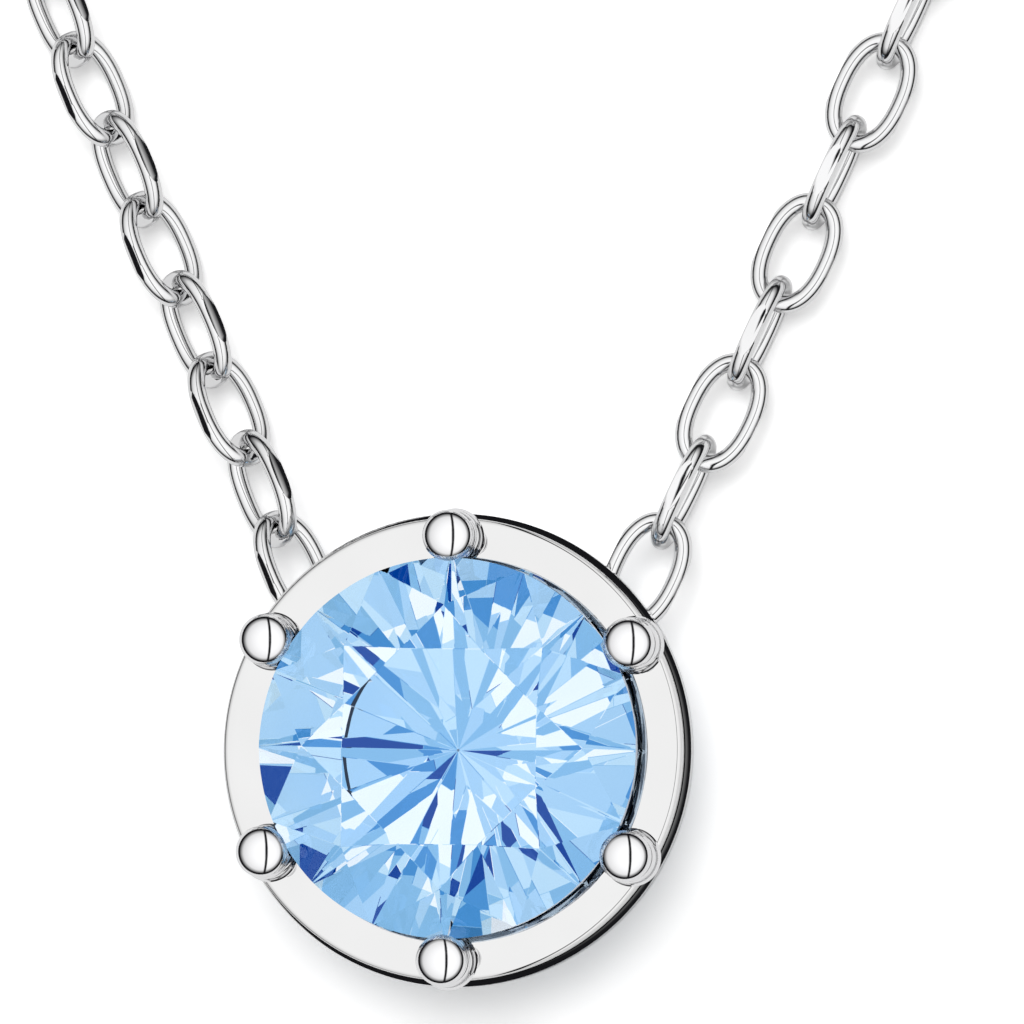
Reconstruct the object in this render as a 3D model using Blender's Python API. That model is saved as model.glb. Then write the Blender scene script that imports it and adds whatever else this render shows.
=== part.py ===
"""Pendant necklace: a round faceted stone held by six ball-tipped prongs over a flat ring, on a fine
cable chain with a spring ring clasp.

The necklace lies face up on a table. The stone faces +Z, +Y runs from the pendant towards the chain,
and the table is z = 0. The chain's links next to the pendant are modelled one by one. The rest of each
strand is wound in a coil beside the other one, as for storage, and stands here as plain tubes and rings.

Sizes are in millimetres until mm() turns them into metres.
"""

import math

import bmesh
import bpy
from mathutils import Vector

# --- pendant ---
STONE_R = 3.25
GIRDLE_Z = (3.14, 3.28)
TABLE_R = 1.80
STAR_R = 2.42
TABLE_Z = 4.20
STAR_Z = 3.90
LOWER_R = 0.75
CULET_Z = 0.42
PAVILION_MID_R = 3.20
PLATE_R = (3.0, 4.05)
PLATE_Z = (1.75, 2.75)
PLATE_EDGE = 0.07
PRONG_PITCH_R = 3.62
PRONG_SHANK_R = 0.46
PRONG_BALL_R = 0.41
PRONG_BALL_Z = 3.47
SEAT_ROOM = 0.03
STRUT_R = 0.27
STRUT_TOP_R = 3.45
STRUT_FOOT_R = 2.25
BASE_R = (1.90, 2.60)
BASE_Z = (0.0, 0.50)
JOINT_GAP = 0.02

# --- chain ---
WIRE = 0.31
LINK_LENGTH = 2.16
LINK_WIDTH = 1.38
LINK_GAP = 0.02
PITCH = LINK_LENGTH - 2 * WIRE - LINK_GAP
LINKS = 8
OVAL_POWER = 2.3
STRAND_LEAN = math.radians(24.3)
EYELET_ANGLE = math.radians(42.7)
EYELET_AT_R = 3.82
EYELET_RING_R = 0.46
TABLE_CHAIN_Z = 0.70
DESCENT = 5.0
ROLLS = {"left": (45.0, -45.0), "right": (4.0, 86.0)}

# --- coiled strands ---
COIL_R = 6.9
COIL_LEAD = 0.6
COIL_BEND = 2.8
CORD_R = LINK_WIDTH / 2
CORD_GAP = 0.15
COIL_EDGE = 0.35
LEAD_ARC = (14, 28, 42)
TAIL_SPOTS = (
    (-4.65, 0.50, 0.72),
    (-4.68, -0.60, 0.71),
    (-4.40, -1.75, 0.70),
    (-3.72, -2.90, 0.70),
    (-2.85, -3.60, 0.70),
    (-1.95, -3.75, 0.70),
)
TAIL_END = (-1.35, -3.25, 0.70)

# --- spring ring clasp and end rings, placed from the middle of their coil ---
CLASP_AT = 2.6
CLASP_R = 2.3
CLASP_TUBE_R = (0.27, 0.45)
CLASP_MOUTH = (20.0, 72.0)
BOLT_R = 0.21
BOLT_SPAN = (-28.0, 76.0)
SLOT_SPAN = (-46.0, 26.0)
SLOT_HALF = 0.15
SLOT_Z = (0.16, 0.70)
KNOB_AT = 12.0
KNOB_PROFILE = ((0.10, 0.0), (0.10, 0.50), (0.22, 0.54), (0.22, 0.68), (0.13, 0.76))
SPRING_SPAN = (-130.0, -30.0)
SPRING_TURNS = 16
SPRING_R = 0.17
SPRING_WIRE_R = 0.04
LOOP_RING = (0.50, 0.17)
JUMP_RING = (0.95, 0.20)
JUMP_TILT = math.radians(14.3)
END_RING = (1.55, 0.25)
END_RING_AT = -1.0

UP = Vector((0, 0, 1))
SIDES = {"left": -1.0, "right": 1.0}


def mm(value):
    return value * 0.001


# ---------------------------------------------------------------- mesh tools


def material(name, colour, roughness, metallic):
    """A Principled BSDF with one colour and finish."""
    made = bpy.data.materials.get(name) or bpy.data.materials.new(name)
    made.use_nodes = True
    shader = made.node_tree.nodes["Principled BSDF"]
    shader.inputs["Base Color"].default_value = (*colour, 1.0)
    shader.inputs["Roughness"].default_value = roughness
    shader.inputs["Metallic"].default_value = metallic
    return made


def silver(name):
    return material(name + "_metal", (0.90, 0.90, 0.92), 0.08, 1.0)


def add(name, bm, finish, smooth=True, origin=None):
    """Turns a bmesh in millimetres into a named object, with its origin at a point of the model."""
    centre = Vector(origin) if origin is not None else Vector((0, 0, 0))
    bmesh.ops.recalc_face_normals(bm, faces=bm.faces)
    bmesh.ops.translate(bm, verts=bm.verts, vec=-centre)
    bmesh.ops.scale(bm, verts=bm.verts, vec=Vector((0.001, 0.001, 0.001)))
    mesh = bpy.data.meshes.new(name)
    bm.to_mesh(mesh)
    bm.free()
    if smooth:
        mesh.shade_smooth()
        mesh.set_sharp_from_angle(angle=math.radians(35))
    made = bpy.data.objects.new(name, mesh)
    made.location = centre * 0.001
    mesh.materials.append(finish)
    bpy.context.scene.collection.objects.link(made)
    return made


def loft(bm, rings, closed=False):
    """Skins rings of points one after another, and joins the last to the first or caps both ends."""
    loops = [[bm.verts.new(point) for point in ring] for ring in rings]
    count = len(loops[0])
    pairs = list(zip(loops, loops[1:]))
    if closed:
        pairs.append((loops[-1], loops[0]))
    for near, far in pairs:
        for k in range(count):
            after = (k + 1) % count
            bm.faces.new((near[k], near[after], far[after], far[k]))
    if not closed:
        bm.faces.new(loops[0])
        bm.faces.new(loops[-1])


def circle(centre, out, up, radius, sides):
    """A ring of points in the plane of two unit vectors."""
    steps = [2 * math.pi * k / sides for k in range(sides)]
    return [centre + out * (radius * math.cos(a)) + up * (radius * math.sin(a)) for a in steps]


def turned(profile, segments, centre=(0.0, 0.0)):
    """A closed (radius, height) outline turned about a vertical axis, which stays open in the middle."""
    bm = bmesh.new()
    rings = []
    for k in range(segments):
        angle = 2 * math.pi * k / segments
        out = Vector((math.cos(angle), math.sin(angle), 0))
        base = Vector((centre[0], centre[1], 0))
        rings.append([base + out * r + UP * z for r, z in profile])
    loft(bm, rings, closed=True)
    return bm


def bevelled_section(radii, heights, edge):
    """The outline of a flat ring's section, with its four edges cut."""
    (r0, r1), (z0, z1) = radii, heights
    return [
        (r0 + edge, z0),
        (r1 - edge, z0),
        (r1, z0 + edge),
        (r1, z1 - edge),
        (r1 - edge, z1),
        (r0 + edge, z1),
        (r0, z1 - edge),
        (r0, z0 + edge),
    ]


def wire_ring(centre, along, across, radius, wire, segments=20, sides=8):
    """A round ring of round wire, in the plane of two unit vectors."""
    bm = bmesh.new()
    normal = along.cross(across)
    rings = []
    for k in range(segments):
        angle = 2 * math.pi * k / segments
        out = along * math.cos(angle) + across * math.sin(angle)
        rings.append(circle(centre + out * radius, out, normal, wire, sides))
    loft(bm, rings, closed=True)
    return bm


def rod(start, end, radius, sides):
    """A round rod between two points, with level ends."""
    bm = bmesh.new()
    line = (end - start).normalized()
    out = Vector((line.y, -line.x, 0)).normalized() if line.xy.length > 1e-6 else Vector((1, 0, 0))
    up = line.cross(out)
    ends = []
    for point in (start, end):
        ring = circle(point, out, up, radius, sides)
        ends.append([p + line * ((point.z - p.z) / line.z) for p in ring])
    loft(bm, ends)
    return bm


def cut(target, cutter_bm, operation="DIFFERENCE"):
    """Cuts or joins a piece with a second shape, and keeps the Boolean on the piece."""
    cutter = add(target.name + "_cutter", cutter_bm, silver("tool"), smooth=False)
    cutter.hide_render = True
    cutter.display_type = "WIRE"
    boolean = target.modifiers.new("cut", "BOOLEAN")
    boolean.operation = operation
    boolean.solver = "EXACT"
    boolean.object = cutter
    return target


# ---------------------------------------------------------------- strand layout


def strand_direction(side):
    return Vector((SIDES[side] * math.sin(STRAND_LEAN), math.cos(STRAND_LEAN), 0))


def outward(side):
    """The level direction square to a strand, away from the other strand."""
    ahead = strand_direction(side)
    return Vector((ahead.y, -ahead.x, 0)) * SIDES[side]


def eyelet_radial(side):
    return Vector((SIDES[side] * math.cos(EYELET_ANGLE), math.sin(EYELET_ANGLE), 0))


def eyelet_z():
    """The eyelet hangs from the plate's back."""
    return PLATE_Z[0] - JOINT_GAP - EYELET_RING_R - WIRE / 2


def eyelet_wire(side):
    """The middle of the eyelet's wire where the first link hangs."""
    return eyelet_radial(side) * EYELET_AT_R + UP * eyelet_z()


def strand_height(s):
    """The chain comes down from the eyelet to the table in one smooth fall."""
    t = min(max(s / DESCENT, 0.0), 1.0)
    return TABLE_CHAIN_Z + (eyelet_z() - TABLE_CHAIN_Z) * (1 - t * t * (3 - 2 * t))


def contacts(side):
    """The points where the links touch, from the eyelet to the last link's far end."""
    start = eyelet_wire(side) - strand_direction(side) * (WIRE + LINK_GAP) / 2
    points = [start]
    reach = 0.0
    for _ in range(LINKS):
        here = points[-1]
        step = PITCH
        for _ in range(4):
            ahead = reach + step
            drop = strand_height(ahead) - here.z
            step = math.sqrt(PITCH * PITCH - drop * drop)
        reach += step
        point = start + strand_direction(side) * reach
        points.append(Vector((point.x, point.y, strand_height(reach))))
    return points


def link_frame(side, k):
    """The middle, direction and flat side's normal of link k, counted from 0."""
    points = contacts(side)
    ahead = (points[k + 1] - points[k]).normalized()
    level = ahead.cross(UP).normalized()
    normal = level.cross(ahead)
    roll = math.radians(ROLLS[side][k % 2])
    turned_normal = normal * math.cos(roll) + level * math.sin(roll)
    return (points[k] + points[k + 1]) / 2, ahead, turned_normal


def coil_centre(side):
    """The strand runs on, bends inward through a right angle and meets the coil's outer turn."""
    last = contacts(side)[-1]
    ahead = strand_direction(side) * (COIL_LEAD + COIL_BEND + COIL_R + CORD_R)
    centre = last + ahead - outward(side) * COIL_BEND
    return Vector((centre.x, centre.y, 0))


def model_shift():
    """Moves the pendant down, so that the origin is in the middle of the pendant with its links."""
    low = -(PRONG_PITCH_R + PRONG_SHANK_R)
    high = max(contacts(side)[-1].y for side in SIDES) + WIRE
    return Vector((0, -(low + high) / 2, 0))


# ---------------------------------------------------------------- pendant


def stone_points():
    """The rows of corners of a round brilliant, from the table down to the culet."""

    def row(radius, z, count, first):
        step = 2 * math.pi / count
        return [Vector((radius * math.cos(first + k * step), radius * math.sin(first + k * step), z))
                for k in range(count)]

    half = math.pi / 8
    table = row(TABLE_R, TABLE_Z, 8, half)
    star = row(STAR_R, STAR_Z, 8, 0.0)
    upper = row(STONE_R, GIRDLE_Z[1], 16, 0.0)
    lower = row(STONE_R, GIRDLE_Z[0], 16, 0.0)
    pavilion = row(LOWER_R, CULET_Z + (GIRDLE_Z[0] - CULET_Z) * LOWER_R / PAVILION_MID_R, 8, half)
    return table, star, upper, lower, pavilion, Vector((0, 0, CULET_Z))


def stone():
    """Table, 8 stars, 8 kites, 16 upper halves, girdle, 16 lower halves and 8 pavilion mains."""
    bm = bmesh.new()
    table, star, upper, lower, pavilion, culet = stone_points()
    table, star, upper, lower, pavilion = (
        [bm.verts.new(p) for p in row] for row in (table, star, upper, lower, pavilion)
    )
    tip = bm.verts.new(culet)
    bm.faces.new(table)
    for k in range(8):
        after = (k + 1) % 8
        # the table's corner k lies between the star points k and k + 1
        bm.faces.new((table[k - 1], table[k], star[k]))
        bm.faces.new((table[k], star[after], upper[2 * k + 1]))
        bm.faces.new((table[k], upper[2 * k + 1], star[k]))
        bm.faces.new((star[k], upper[2 * k + 1], upper[2 * k]))
        bm.faces.new((star[after], upper[(2 * k + 2) % 16], upper[2 * k + 1]))
        bm.faces.new((lower[2 * k], lower[2 * k + 1], pavilion[k]))
        bm.faces.new((lower[2 * k + 1], lower[(2 * k + 2) % 16], pavilion[k]))
        bm.faces.new((lower[2 * k], pavilion[k], tip))
        bm.faces.new((lower[2 * k], tip, pavilion[k - 1]))
    for k in range(16):
        after = (k + 1) % 16
        bm.faces.new((upper[k], upper[after], lower[after], lower[k]))
    return bm


def bearing_cutter():
    """A turned cone pair a little larger than the stone, which cuts the prongs' seats."""
    room = STONE_R + SEAT_ROOM
    slope_down = (GIRDLE_Z[0] - CULET_Z) / STONE_R
    slope_up = (TABLE_Z - GIRDLE_Z[1]) / (STONE_R - TABLE_R)
    inner = 2.2
    profile = [
        (inner, GIRDLE_Z[0] - SEAT_ROOM - (room - inner) * slope_down),
        (room, GIRDLE_Z[0] - SEAT_ROOM),
        (room, GIRDLE_Z[1] + SEAT_ROOM),
        (inner, GIRDLE_Z[1] + SEAT_ROOM + (room - inner) * slope_up),
    ]
    return turned(profile, 96)


def prong(number):
    """A round shank that stands on the plate and ends in a ball, with a seat cut for the stone."""
    angle = math.radians(90 + 60 * (number - 1))
    foot = PLATE_Z[1] + JOINT_GAP
    profile = [(PRONG_SHANK_R, foot), (PRONG_SHANK_R, PRONG_BALL_Z - 0.22), (PRONG_BALL_R, PRONG_BALL_Z)]
    profile += [
        (PRONG_BALL_R * math.cos(math.radians(a)), PRONG_BALL_Z + PRONG_BALL_R * math.sin(math.radians(a)))
        for a in (25, 50, 72)
    ]
    bm = bmesh.new()
    x = PRONG_PITCH_R * math.cos(angle)
    y = PRONG_PITCH_R * math.sin(angle)
    rings = [circle(Vector((x, y, z)), Vector((1, 0, 0)), Vector((0, 1, 0)), r, 14) for r, z in profile]
    loft(bm, rings)
    name = f"prong_{number}"
    return cut(add(name, bm, silver(name)), bearing_cutter())


def strut(number):
    """One leg of the open gallery, from the plate's back down to the base ring."""
    angle = math.radians(90 + 60 * (number - 1))
    out = Vector((math.cos(angle), math.sin(angle), 0))
    top = out * STRUT_TOP_R + UP * (PLATE_Z[0] - JOINT_GAP)
    foot = out * STRUT_FOOT_R + UP * (BASE_Z[1] + JOINT_GAP)
    name = f"gallery_strut_{number}"
    return add(name, rod(foot, top, STRUT_R, 10), silver(name))


def pendant():
    add("stone", stone(), material("blue_stone", (0.45, 0.72, 0.93), 0.02, 0.0), smooth=False)
    plate = turned(bevelled_section(PLATE_R, PLATE_Z, PLATE_EDGE), 72)
    add("ring_plate", plate, silver("ring_plate"))
    base = turned(bevelled_section(BASE_R, BASE_Z, PLATE_EDGE), 40)
    add("base_ring", base, silver("base_ring"))
    for number in range(1, 7):
        prong(number)
        strut(number)
    for side in SIDES:
        radial = eyelet_radial(side)
        middle = eyelet_wire(side) - radial * EYELET_RING_R
        name = f"eyelet_{side}"
        add(name, wire_ring(middle, radial, UP, EYELET_RING_R, WIRE / 2), silver(name))


# ---------------------------------------------------------------- chain


def oval(angle, half_length, half_width):
    """A point of a slightly squared oval."""
    power = 2.0 / OVAL_POWER
    c, s = math.cos(angle), math.sin(angle)
    x = half_length * math.copysign(abs(c) ** power, c)
    y = half_width * math.copysign(abs(s) ** power, s)
    return x, y


def link(name, middle, ahead, normal, segments=18, sides=8):
    """One oval link of round wire, with its long side along the strand."""
    bm = bmesh.new()
    across = normal.cross(ahead)
    half_length = (LINK_LENGTH - WIRE) / 2
    half_width = (LINK_WIDTH - WIRE) / 2
    points = []
    for k in range(segments):
        x, y = oval(2 * math.pi * k / segments, half_length, half_width)
        points.append(middle + ahead * x + across * y)
    rings = []
    for k, point in enumerate(points):
        along = (points[(k + 1) % segments] - points[k - 1]).normalized()
        rings.append(circle(point, along.cross(normal), normal, WIRE / 2, sides))
    loft(bm, rings, closed=True)
    return add(name, bm, silver(name), origin=middle - ahead * PITCH / 2)


def strand_links(side):
    for k in range(LINKS):
        middle, ahead, normal = link_frame(side, k)
        link(f"chain_link_{side}_{k + 1}", middle, ahead, normal)


def tube(name, points, radius):
    """A tube through a list of points: a poly curve with a round bevel and filled caps."""
    curve = bpy.data.curves.new(name, "CURVE")
    curve.dimensions = "3D"
    curve.bevel_depth = mm(radius)
    curve.bevel_resolution = 2
    curve.use_fill_caps = True
    line = curve.splines.new("POLY")
    line.points.add(len(points) - 1)
    origin = Vector(points[0])
    for spot, point in zip(line.points, points):
        spot.co = (*((Vector(point) - origin) * 0.001), 1.0)
    curve.materials.append(silver(name))
    made = bpy.data.objects.new(name, curve)
    made.location = origin * 0.001
    bpy.context.scene.collection.objects.link(made)
    return made


def lead_route(side):
    """The stretch from the last modelled link round its bend towards the coil's outer turn."""
    last = contacts(side)[-1]
    ahead, out = strand_direction(side), outward(side)
    start = last + ahead * (WIRE + CORD_GAP)
    start.z = CORD_R + 0.01
    bend = last + ahead * COIL_LEAD
    bend.z = start.z
    points = [start, bend]
    for degrees in LEAD_ARC:
        a = math.radians(degrees)
        points.append(bend + ahead * (COIL_BEND * math.sin(a)) - out * (COIL_BEND * (1 - math.cos(a))))
    return points


def coil(side):
    """The outer shape of four turns of chain, two beside each other and two on top."""
    turn = 2 * CORD_R
    radii = (COIL_R - turn, COIL_R + turn)
    profile = bevelled_section(radii, (0.0, 2 * turn), COIL_EDGE)
    centre = coil_centre(side)
    name = f"chain_coil_{side}"
    return add(name, turned(profile, 40, centre.xy), silver(name))


def inner_frame(side):
    """The coil's middle, and the level directions that its clasp or end ring is placed by."""
    u = strand_direction(side)
    return coil_centre(side), outward(side) * -1.0, u


def inner_point(side, x, v, z):
    centre, cross, u = inner_frame(side)
    return centre + cross * x + u * v + UP * z


def inner_route(side):
    """The stretch from the coil's inner turn, down to the table and round to the ring it ends in."""
    return [inner_point(side, *spot) for spot in smooth_route([*TAIL_SPOTS, TAIL_END], 3)]


def smooth_route(spots, parts):
    """A Catmull-Rom curve through the spots, with parts points for each stretch."""
    ends = [spots[0], *spots, spots[-1]]
    points = []
    for k in range(1, len(ends) - 2):
        p0, p1, p2, p3 = (Vector(p) for p in ends[k - 1 : k + 3])
        for step in range(parts):
            t = step / parts
            points.append(
                0.5
                * (
                    2 * p1
                    + (p2 - p0) * t
                    + (2 * p0 - 5 * p1 + 4 * p2 - p3) * t * t
                    + (3 * p1 - p0 - 3 * p2 + p3) * t * t * t
                )
            )
    points.append(Vector(spots[-1]))
    return points


# ---------------------------------------------------------------- clasp


def clasp_arc(side, degrees, z):
    """A point on the clasp tube's middle line, and the direction out from the clasp's middle."""
    centre = inner_point(side, 0, CLASP_AT, z)
    _, cross, u = inner_frame(side)
    a = math.radians(degrees)
    out = cross * math.cos(a) + u * math.sin(a)
    return centre + out * CLASP_R, out


def arc_tube(side, span, radius, count, sides=8, bore=None):
    """A round bar along the clasp's circle, or a pipe if it has a bore."""
    bm = bmesh.new()
    z = CLASP_TUBE_R[1] + JOINT_GAP
    outer, inner = [], []
    for k in range(count + 1):
        point, out = clasp_arc(side, span[0] + (span[1] - span[0]) * k / count, z)
        outer.append(circle(point, out, UP, radius, sides))
        if bore:
            inner.append(circle(point, out, UP, bore, sides))
    if not bore:
        loft(bm, outer)
        return bm
    walls = [[[bm.verts.new(p) for p in ring] for ring in rings] for rings in (outer, inner)]
    for rings in walls:
        for near, far in zip(rings, rings[1:]):
            for k in range(sides):
                after = (k + 1) % sides
                bm.faces.new((near[k], near[after], far[after], far[k]))
    for end in (0, -1):
        for k in range(sides):
            after = (k + 1) % sides
            bm.faces.new((walls[0][end][k], walls[0][end][after], walls[1][end][after], walls[1][end][k]))
    return bm


def slot_cutter(side):
    """A curved block that opens the top of the clasp's tube, where the knob travels."""
    bm = bmesh.new()
    rings = []
    z = CLASP_TUBE_R[1] + JOINT_GAP
    for k in range(11):
        point, out = clasp_arc(side, SLOT_SPAN[0] + (SLOT_SPAN[1] - SLOT_SPAN[0]) * k / 10, z)
        low, high = (UP * h for h in SLOT_Z)
        near, far = point - out * SLOT_HALF, point + out * SLOT_HALF
        rings.append([near + low, far + low, far + high, near + high])
    loft(bm, rings)
    return bm


def clasp(side):
    """A spring ring: the pipe, its sliding bolt with a knob, the spring behind it and the soldered loop."""
    body_span = (CLASP_MOUTH[1], CLASP_MOUTH[0] + 360)
    body_bm = arc_tube(side, body_span, CLASP_TUBE_R[1], 30, bore=CLASP_TUBE_R[0])
    cut(add("clasp_body", body_bm, silver("clasp_body")), slot_cutter(side))
    z = CLASP_TUBE_R[1] + JOINT_GAP
    middle = inner_point(side, 0, CLASP_AT, z)
    bolt = add("clasp_bolt", arc_tube(side, BOLT_SPAN, BOLT_R, 9), silver("clasp_bolt"), origin=middle)
    stem, _ = clasp_arc(side, KNOB_AT, z)
    knob_bm = bmesh.new()
    level = (Vector((1, 0, 0)), Vector((0, 1, 0)))
    loft(knob_bm, [circle(stem + UP * h, *level, r, 10) for r, h in KNOB_PROFILE])
    cut(bolt, knob_bm, "UNION")
    spring_bm = bmesh.new()
    rings = []
    steps = SPRING_TURNS * 8
    for k in range(steps + 1):
        degrees = SPRING_SPAN[0] + (SPRING_SPAN[1] - SPRING_SPAN[0]) * k / steps
        point, out = clasp_arc(side, degrees, z)
        turn = 2 * math.pi * k / 8
        away = out * math.cos(turn) + UP * math.sin(turn)
        round_way = UP.cross(out)
        rings.append(circle(point + away * SPRING_R, away, round_way, SPRING_WIRE_R, 4))
    loft(spring_bm, rings)
    add("clasp_spring", spring_bm, silver("clasp_spring"))
    _, _, u = inner_frame(side)
    ring_r, wire = LOOP_RING
    loop_at = inner_point(side, 0, loop_place(), wire + ring_r + JOINT_GAP)
    add("clasp_loop", wire_ring(loop_at, u, UP, ring_r, wire), silver("clasp_loop"))
    ring_r, wire = JUMP_RING
    lean = u * math.cos(JUMP_TILT) + UP * math.sin(JUMP_TILT)
    _, cross, _ = inner_frame(side)
    jump = wire_ring(jump_middle(side), lean, cross, ring_r, wire, 22)
    add("jump_ring", jump, silver("jump_ring"), origin=jump_middle(side) - lean * ring_r)


def loop_place():
    """The clasp's soldered loop stands just outside its tube."""
    return CLASP_AT - CLASP_R - CLASP_TUBE_R[1] - JOINT_GAP - LOOP_RING[0] - LOOP_RING[1]


def jump_middle(side):
    """The jump ring's wire passes through the clasp's loop."""
    near = loop_place() - LOOP_RING[0] + LOOP_RING[1] + JUMP_RING[1] + JOINT_GAP
    height = JUMP_RING[1] + JOINT_GAP + JUMP_RING[0] * math.sin(JUMP_TILT)
    return inner_point(side, 0, near - JUMP_RING[0] * math.cos(JUMP_TILT), height)


def end_ring(side):
    """The plain ring that the clasp closes on."""
    _, cross, u = inner_frame(side)
    radius, wire = END_RING
    middle = inner_point(side, 0, END_RING_AT, wire + JOINT_GAP)
    add("end_ring", wire_ring(middle, u, cross, radius, wire, 28), silver("end_ring"))


def strand(side):
    strand_links(side)
    tube(f"chain_lead_{side}", lead_route(side), CORD_R)
    coil(side)
    tube(f"chain_tail_{side}", inner_route(side), CORD_R)


def clear_scene():
    for item in list(bpy.data.objects):
        bpy.data.objects.remove(item, do_unlink=True)


def build():
    clear_scene()
    pendant()
    for side in SIDES:
        strand(side)
    clasp("left")
    end_ring("right")
    for item in bpy.data.objects:
        item.location += model_shift() * 0.001


build()
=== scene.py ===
import math

import bmesh
import bpy
from mathutils import Matrix, Vector


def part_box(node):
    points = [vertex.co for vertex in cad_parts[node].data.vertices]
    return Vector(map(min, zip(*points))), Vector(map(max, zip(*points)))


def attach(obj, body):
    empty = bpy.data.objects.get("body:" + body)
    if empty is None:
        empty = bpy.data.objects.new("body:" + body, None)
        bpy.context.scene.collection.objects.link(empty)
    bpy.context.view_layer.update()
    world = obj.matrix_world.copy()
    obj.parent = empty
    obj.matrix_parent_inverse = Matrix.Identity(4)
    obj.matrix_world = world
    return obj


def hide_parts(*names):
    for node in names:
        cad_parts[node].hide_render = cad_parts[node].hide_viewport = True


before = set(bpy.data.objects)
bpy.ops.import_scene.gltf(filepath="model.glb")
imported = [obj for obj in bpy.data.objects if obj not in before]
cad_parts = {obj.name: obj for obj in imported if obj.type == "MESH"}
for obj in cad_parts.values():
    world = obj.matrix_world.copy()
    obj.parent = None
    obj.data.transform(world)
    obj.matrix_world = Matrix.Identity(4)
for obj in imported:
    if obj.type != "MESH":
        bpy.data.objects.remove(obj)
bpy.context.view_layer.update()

# Sizes are in millimetres, measured from the pendant's own axis on the table, until place() turns them
# into the frame's metres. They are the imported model's, except that the ball tips, the plate's edges and
# the clasp's knob are finer here, and the stone's point is a little lower.

# --- pendant ---
STONE_R = 3.25
GIRDLE_Z = (3.14, 3.28)
TABLE_R = 1.80
STAR_R = 2.42
TABLE_Z = 4.20
STAR_Z = 3.90
LOWER_R = 0.75
CULET_Z = 0.30
PAVILION_MID_R = 3.20
FACET_EDGE = 0.005
STONE_SIDES = 128
STONE_BAR_SPARE = 0.2
PLATE_Z = (1.75, 2.75)
PLATE_PROFILE = (
    (3.06, 1.75),
    (3.92, 1.75),
    (4.00, 1.78),
    (4.045, 1.85),
    (4.05, 1.95),
    (4.05, 2.205),
    (4.008, 2.244),
    (3.962, 2.281),
    (3.960, 2.42),
    (3.960, 2.66),
    (3.955, 2.692),
    (3.944, 2.724),
    (3.915, 2.743),
    (3.88, 2.75),
    (3.075, 2.75),
    (3.045, 2.742),
    (3.022, 2.720),
    (3.012, 2.690),
    (3.00, 2.60),
    (3.00, 1.81),
    (3.02, 1.765),
)
PLATE_SEGMENTS = 288
PRONG_PITCH_R = 3.62
PRONG_PROFILE = (
    (0.500, 2.750),
    (0.482, 2.775),
    (0.466, 2.800),
    (0.460, 2.840),
    (0.460, 2.900),
    (0.448, 2.912),
    (0.448, 2.930),
    (0.460, 2.942),
    (0.460, 3.010),
    (0.448, 3.022),
    (0.448, 3.040),
    (0.460, 3.052),
    (0.460, 3.240),
    (0.454, 3.275),
    (0.440, 3.300),
    (0.420, 3.318),
    (0.404, 3.340),
    (0.398, 3.370),
)
BALL_R = 0.44
BALL_Z = 3.60
BALL_HEIGHT = 0.22
# how far up the ball each ring of its points is, in degrees
BALL_STEPS = (-30, -22, -15, -8, 0, 8, 16, 24, 32, 40, 48, 55, 62, 68, 74, 79, 83, 86, 88.5)
PRONG_SIDES = 56
SEAT_ROOM = 0.03
SEAT_INNER_R = 2.2
SEAT_SEGMENTS = 192
STRUT_R = 0.27
STRUT_TOP_R = 3.45
STRUT_FOOT_R = 2.25
STRUT_SIDES = 32
# how far up a leg each ring of its points is, and its share of the leg's radius
STRUT_FLARE = (
    (0.0, 1.30),
    (0.03, 1.16),
    (0.08, 1.06),
    (0.16, 1.0),
    (0.5, 0.97),
    (0.84, 1.0),
    (0.92, 1.06),
    (0.97, 1.16),
    (1.0, 1.30),
)
BASE_R = (1.90, 2.60)
BASE_Z = (0.0, 0.50)
BASE_EDGE = 0.09
BASE_EDGE_STEPS = 4
BASE_SEGMENTS = 160
JOINT_GAP = 0.02

# --- chain ---
WIRE = 0.31
LINK_LENGTH = 2.16
LINK_WIDTH = 1.38
LINK_GAP = 0.02
PITCH = LINK_LENGTH - 2 * WIRE - LINK_GAP
LINKS = 8
OVAL_POWER = 2.3
FACET_DEPTH = 0.05
# points round a link and round its wire, for the links in view and for the rest
FINE_LINK = (96, 24)
SIMPLE_LINK = (24, 8)
STRAND_LEAN = math.radians(24.3)
EYELET_ANGLE = math.radians(42.7)
EYELET_AT_R = 3.82
EYELET_RING_R = 0.46
EYELET_SIDES = 20
TABLE_CHAIN_Z = 0.70
DESCENT = 5.0
ROLLS = {"left": (45.0, -45.0), "right": (4.0, 86.0)}

# --- coiled strands ---
COIL_R = 6.9
COIL_LEAD = 0.6
COIL_BEND = 2.8
CORD_R = LINK_WIDTH / 2
BEND_STEP = 15
BEND_POINTS = 5
TURN_POINTS = 40
COIL_TURNS = 3.72
# the share of a turn in which the coil changes from one level to the next
LEVEL_CHANGE = 40.0 / 360.0
COIL_ROOM = 0.01
# after so many turns the coil draws in to its tail
DRAW_IN_FROM = 3.5
TAIL_R = 4.72
TAIL_PARTS = 4
RUN_ROLL = 45.0
TAIL_SPOTS = (
    (-4.65, 0.50, 0.72),
    (-4.68, -0.60, 0.71),
    (-4.40, -1.75, 0.70),
    (-3.72, -2.90, 0.70),
    (-2.85, -3.60, 0.70),
    (-1.95, -3.75, 0.70),
)
TAIL_ENDS = {
    "left": ((-1.05, -3.32, 0.66), (-0.10, -2.76, 0.44)),
    "right": ((-1.25, -3.25, 0.66), (-0.36, -2.42, 0.46)),
}

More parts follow.
